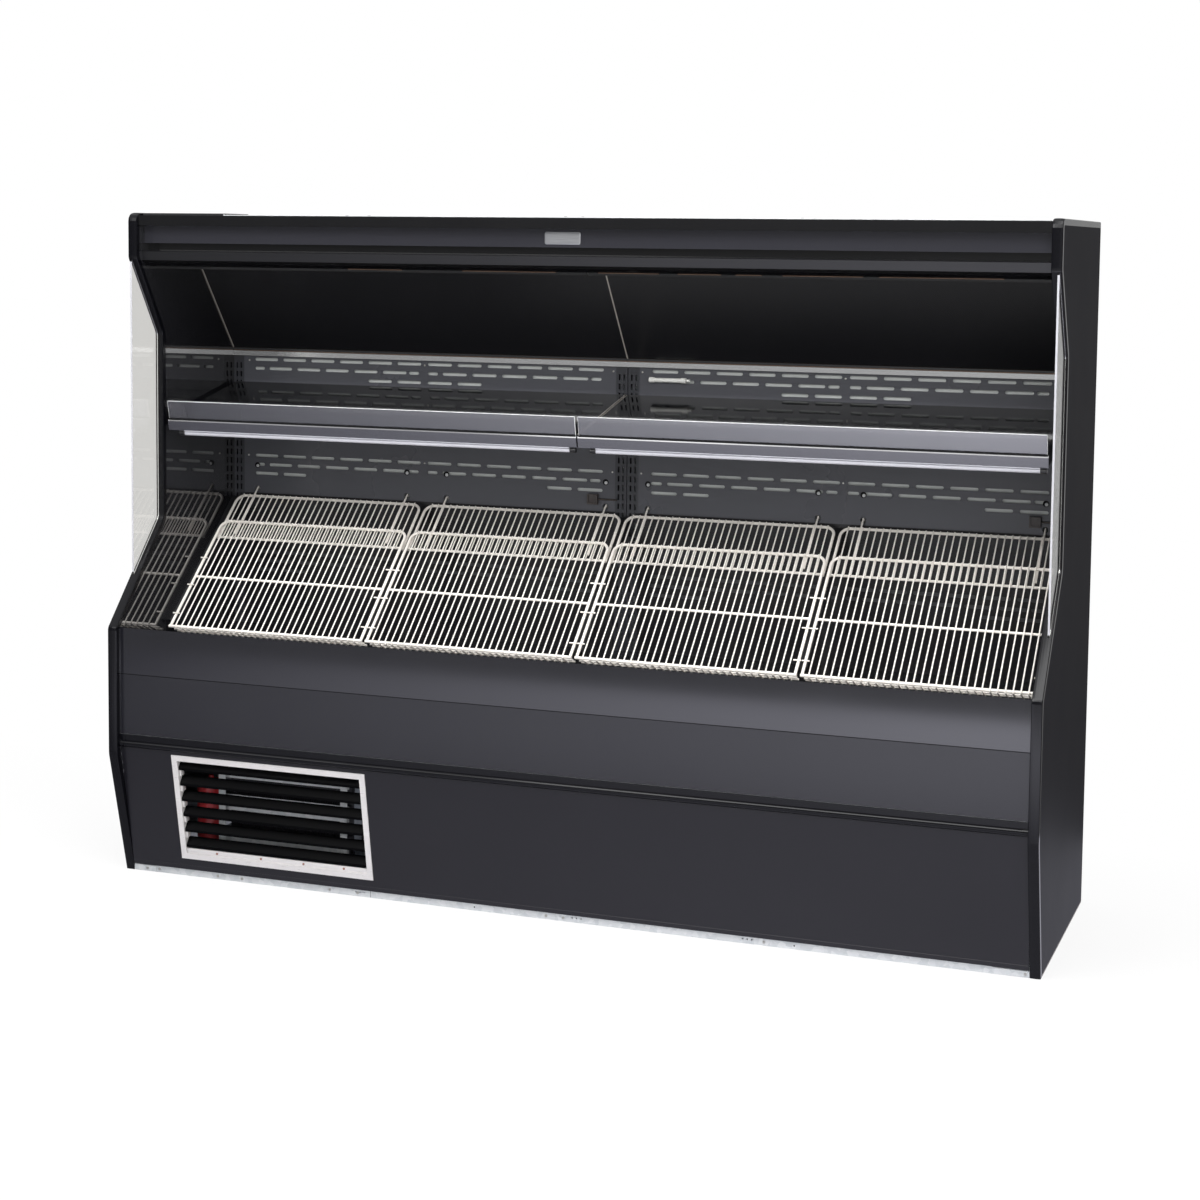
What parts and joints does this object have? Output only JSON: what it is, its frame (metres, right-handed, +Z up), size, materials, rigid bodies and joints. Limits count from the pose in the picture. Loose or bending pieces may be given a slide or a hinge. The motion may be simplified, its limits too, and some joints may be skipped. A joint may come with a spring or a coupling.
{
  "type": "refrigerated display case",
  "caption": "Open-front refrigerated display case with a tilted upper shelf, sloping wire racks, lit canopy and a louvred machine compartment below.",
  "frame": {"origin": "on the floor, under the middle of the case", "axes": "+X along the case to the right seen from the front, -Y out of the open front, +Z up"},
  "size_m": [2.49, 0.76, 1.79],
  "materials": {
    "galvanised": "zinc coated sheet, satin",
    "white_liner": "pale inner liner over foam",
    "end_grey": "dark grey paint, satin",
    "black_trim": "black gloss",
    "clear_panel": "clear",
    "slate_front": "slate paint, semi gloss",
    "inner_black": "black gloss paint",
    "inner_grey": "dark grey gloss paint",
    "bright_strip": "bright metal, satin",
    "lamp_white": "opal tube",
    "white_plastic": "white",
    "rail_grey": "grey, semi gloss",
    "black_plastic": "black",
    "rack_wire": "white plastic coated wire, semi gloss",
    "socket_brown": "dark brown",
    "coil_aluminium": "thin fins",
    "coil_black": "black fins",
    "motor_black": "black paint",
    "fan_aluminium": "pressed blades",
    "tank_red": "red gloss paint"
  },
  "bodies": {
    "case": {"base_frame": "galvanised", "base_pan": "galvanised", "rear_grille": "galvanised", "tub": "white_liner", "rear_wall": "galvanised", "top_panel": "galvanised", "end_panel_left": "end_grey", "end_panel_right": "end_grey", "end_trim_left": "black_trim", "end_trim_right": "black_trim", "end_glass_left": "clear_panel", "end_glass_right": "clear_panel", "canopy_front": "slate_front", "canopy_lamp": "lamp_white", "air_outlet": "white_plastic", "upper_baffle_left": "inner_black", "upper_baffle_right": "inner_black", "duct_cap": "bright_strip", "duct_panel_left": "inner_grey", "duct_panel_right": "inner_grey", "shelf_uprights": "inner_grey", "front_lip": "slate_front", "front_panel_upper": "slate_front", "bumper_rail": "black_trim", "rack_supports": "inner_black", "deck_pan": "inner_black", "thermometer": "white_plastic", "light_sockets": "socket_brown", "roof_cover": "black_plastic", "evaporator_coil": "coil_aluminium", "fan_panel": "galvanised", "condenser_coil": "coil_black", "condenser_shroud": "galvanised", "condenser_motor": "motor_black", "compressor": "motor_black", "receiver_tank": "tank_red"},
    "shelf_unit_left": {"shelf_left": "inner_black", "shelf_brackets_left": "inner_black", "shelf_fence_left": "clear_panel", "price_rail_left": "rail_grey", "shelf_lamp_left": "lamp_white"},
    "shelf_unit_right": {"shelf_right": "inner_black", "shelf_brackets_right": "inner_black", "shelf_fence_right": "clear_panel", "price_rail_right": "rail_grey", "shelf_lamp_right": "lamp_white"},
    "service_panel": {"front_panel_lower": "slate_front", "louvre_frame": "bright_strip", "louvre_blades": "black_plastic"},
    "condenser_fan_wheel": {"condenser_fan": "fan_aluminium"},
    "cooling_fan_left": {"evaporator_fan_left": "black_plastic"},
    "cooling_fan_right": {"evaporator_fan_right": "black_plastic"},
    "rear_rack_1": {"rack_rear_1": "rack_wire"},
    "front_rack_1": {"rack_front_1": "rack_wire"},
    "rear_rack_2": {"rack_rear_2": "rack_wire"},
    "front_rack_2": {"rack_front_2": "rack_wire"},
    "rear_rack_3": {"rack_rear_3": "rack_wire"},
    "front_rack_3": {"rack_front_3": "rack_wire"},
    "rear_rack_4": {"rack_rear_4": "rack_wire"},
    "front_rack_4": {"rack_front_4": "rack_wire"}
  },
  "joints": [
    {"name": "rear_rack_1_lift", "type": "hinge", "parent": "case", "child": "rear_rack_1", "pos_m": [-0.903, 0.262, 0.998], "axis": [-1, 0, 0], "range_deg": [0, 30]},
    {"name": "rear_rack_2_lift", "type": "hinge", "parent": "case", "child": "rear_rack_2", "pos_m": [-0.301, 0.262, 0.998], "axis": [-1, 0, 0], "range_deg": [0, 30]},
    {"name": "rear_rack_3_lift", "type": "hinge", "parent": "case", "child": "rear_rack_3", "pos_m": [0.301, 0.262, 0.998], "axis": [-1, 0, 0], "range_deg": [0, 30]},
    {"name": "rear_rack_4_lift", "type": "hinge", "parent": "case", "child": "rear_rack_4", "pos_m": [0.903, 0.262, 0.998], "axis": [-1, 0, 0], "range_deg": [0, 30]},
    {"name": "front_rack_1_lift", "type": "hinge", "parent": "rear_rack_1", "child": "front_rack_1", "pos_m": [-0.903, 0.15335, 0.91105], "axis": [-1, 0, 0], "range_deg": [0, 25]},
    {"name": "front_rack_2_lift", "type": "hinge", "parent": "rear_rack_2", "child": "front_rack_2", "pos_m": [-0.301, 0.15335, 0.91105], "axis": [-1, 0, 0], "range_deg": [0, 25]},
    {"name": "front_rack_3_lift", "type": "hinge", "parent": "rear_rack_3", "child": "front_rack_3", "pos_m": [0.301, 0.15335, 0.91105], "axis": [-1, 0, 0], "range_deg": [0, 25]},
    {"name": "front_rack_4_lift", "type": "hinge", "parent": "rear_rack_4", "child": "front_rack_4", "pos_m": [0.903, 0.15335, 0.91105], "axis": [-1, 0, 0], "range_deg": [0, 25]},
    {"name": "shelf_left_unhook", "type": "slide", "parent": "case", "child": "shelf_unit_left", "axis": [0, 0, 1], "range_m": [0, 0.008]},
    {"name": "shelf_right_unhook", "type": "slide", "parent": "case", "child": "shelf_unit_right", "axis": [0, 0, 1], "range_m": [0, 0.008]},
    {"name": "service_panel_pull", "type": "slide", "parent": "case", "child": "service_panel", "axis": [0, -1, 0], "range_m": [0, 0.25]},
    {"name": "condenser_fan_spin", "type": "hinge", "parent": "case", "child": "condenser_fan_wheel", "pos_m": [-0.776, -0.145, 0.1825], "axis": [0, 1, 0], "continuous": true},
    {"name": "cooling_fan_left_spin", "type": "hinge", "parent": "case", "child": "cooling_fan_left", "pos_m": [-0.4876, -0.061, 0.52675], "axis": [0, 1, 0], "continuous": true},
    {"name": "cooling_fan_right_spin", "type": "hinge", "parent": "case", "child": "cooling_fan_right", "pos_m": [0.4876, -0.061, 0.52675], "axis": [0, 1, 0], "continuous": true}
  ]
}
